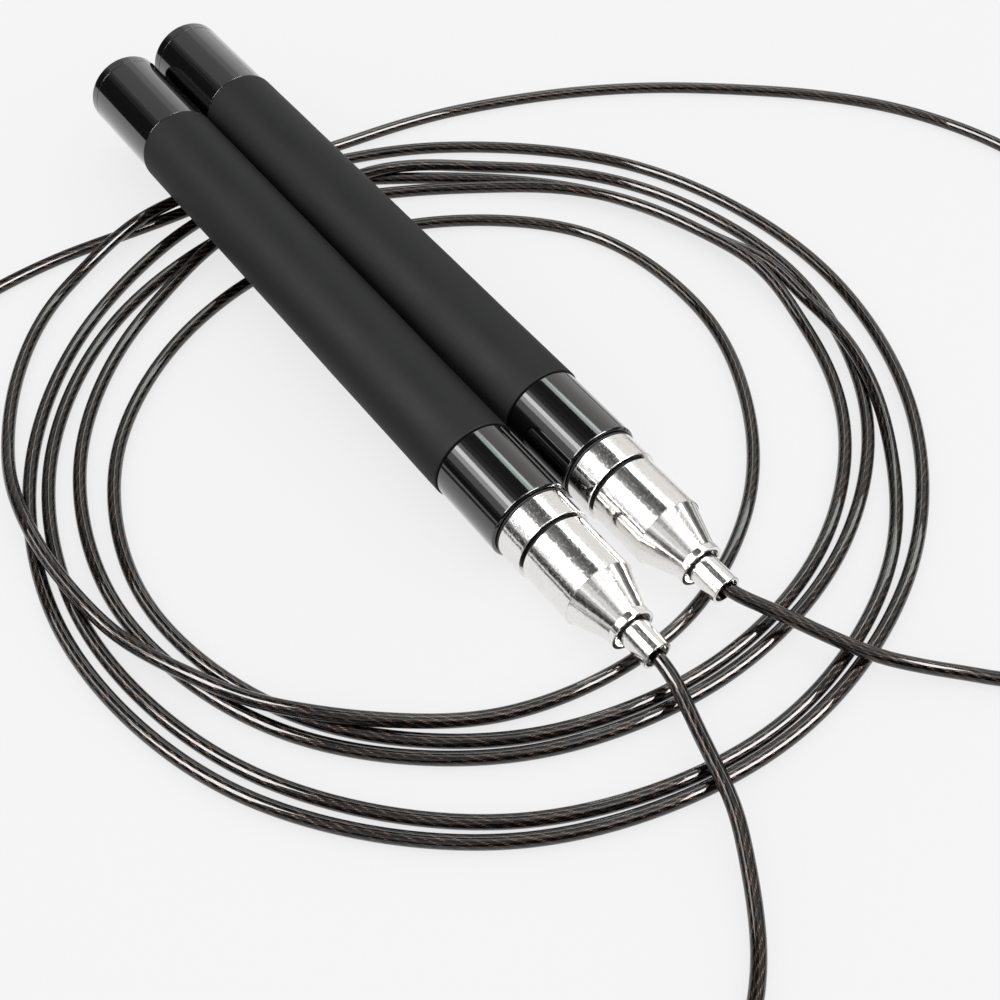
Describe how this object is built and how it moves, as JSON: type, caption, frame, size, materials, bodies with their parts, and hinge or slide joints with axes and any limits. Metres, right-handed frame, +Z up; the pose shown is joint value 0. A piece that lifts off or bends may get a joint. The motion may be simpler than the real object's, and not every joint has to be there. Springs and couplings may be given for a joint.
{
  "type": "jump rope",
  "caption": "Speed jump rope: slim tube handles with soft grips and spinning bearing heads, lying on their coiled coated wire cable.",
  "frame": {"origin": "centre of the two handles' bounding box, on the surface they lie on", "axes": "+Z up; the handles lie side by side along Y, tips towards -Y, and X runs across them"},
  "size_m": [0.277, 0.2433, 0.0216],
  "materials": {
    "black_tube": "gloss black anodised",
    "silicone_grip": "matte",
    "silver_metal": "turned and polished",
    "bearing_steel": "polished",
    "cage_brass": "satin",
    "black_rubber": "matte",
    "cable_coating": "gloss smoked coating over twisted wire"
  },
  "bodies": {
    "handles": {"cable_coil": "cable_coating", "cable_left": "cable_coating", "cable_right": "cable_coating", "handle_tube_left": "black_tube", "grip_sleeve_left": "silicone_grip", "end_cap_left": "black_tube", "bearing_collar_left": "silver_metal", "collar_seal_left": "black_rubber", "gap_shield_left": "black_rubber", "bearing_rear_outer_left": "bearing_steel", "bearing_front_outer_left": "bearing_steel", "handle_tube_right": "black_tube", "grip_sleeve_right": "silicone_grip", "end_cap_right": "black_tube", "bearing_collar_right": "silver_metal", "collar_seal_right": "black_rubber", "gap_shield_right": "black_rubber", "bearing_rear_outer_right": "bearing_steel", "bearing_front_outer_right": "bearing_steel"},
    "rotor_left": {"rotor_body_left": "silver_metal", "spindle_left": "bearing_steel", "bearing_spacer_left": "bearing_steel", "retaining_nut_left": "bearing_steel", "bearing_rear_inner_left": "bearing_steel", "bearing_front_inner_left": "bearing_steel", "plunger_spring_left": "bearing_steel"},
    "cages_left": {"bearing_rear_cage_left": "cage_brass", "bearing_front_cage_left": "cage_brass"},
    "plunger_left": {"lock_plunger_left": "silver_metal", "lock_ball_1_left": "bearing_steel", "lock_ball_2_left": "bearing_steel", "lock_ball_3_left": "bearing_steel"},
    "rotor_right": {"rotor_body_right": "silver_metal", "spindle_right": "bearing_steel", "bearing_spacer_right": "bearing_steel", "retaining_nut_right": "bearing_steel", "bearing_rear_inner_right": "bearing_steel", "bearing_front_inner_right": "bearing_steel", "plunger_spring_right": "bearing_steel"},
    "cages_right": {"bearing_rear_cage_right": "cage_brass", "bearing_front_cage_right": "cage_brass"},
    "plunger_right": {"lock_plunger_right": "silver_metal", "lock_ball_1_right": "bearing_steel", "lock_ball_2_right": "bearing_steel", "lock_ball_3_right": "bearing_steel"}
  },
  "joints": [
    {"name": "spin_left", "type": "hinge", "parent": "handles", "child": "rotor_left", "pos_m": [-0.00876, -0.06457, 0.00773], "axis": [-0.0028, -0.9993, -0.0384], "continuous": true},
    {"name": "cage_spin_left", "type": "hinge", "parent": "handles", "child": "cages_left", "pos_m": [-0.00876, -0.06457, 0.00773], "axis": [-0.0028, -0.9993, -0.0384], "continuous": true},
    {"name": "release_left", "type": "slide", "parent": "rotor_left", "child": "plunger_left", "axis": [0.0028, 0.9993, 0.0384], "range_m": [0, 0.002], "stiffness_N_per_m": 400, "springref_m": -0.003},
    {"name": "spin_right", "type": "hinge", "parent": "handles", "child": "rotor_right", "pos_m": [0.00876, -0.06115, 0.00773], "axis": [0.0028, -0.9993, -0.0384], "continuous": true},
    {"name": "cage_spin_right", "type": "hinge", "parent": "handles", "child": "cages_right", "pos_m": [0.00876, -0.06115, 0.00773], "axis": [0.0028, -0.9993, -0.0384], "continuous": true},
    {"name": "release_right", "type": "slide", "parent": "rotor_right", "child": "plunger_right", "axis": [-0.0028, 0.9993, 0.0384], "range_m": [0, 0.002], "stiffness_N_per_m": 400, "springref_m": -0.003}
  ],
  "couplings": [
    {"joint": "cage_spin_left", "follows": "spin_left", "ratio": 0.43},
    {"joint": "cage_spin_right", "follows": "spin_right", "ratio": 0.43}
  ]
}
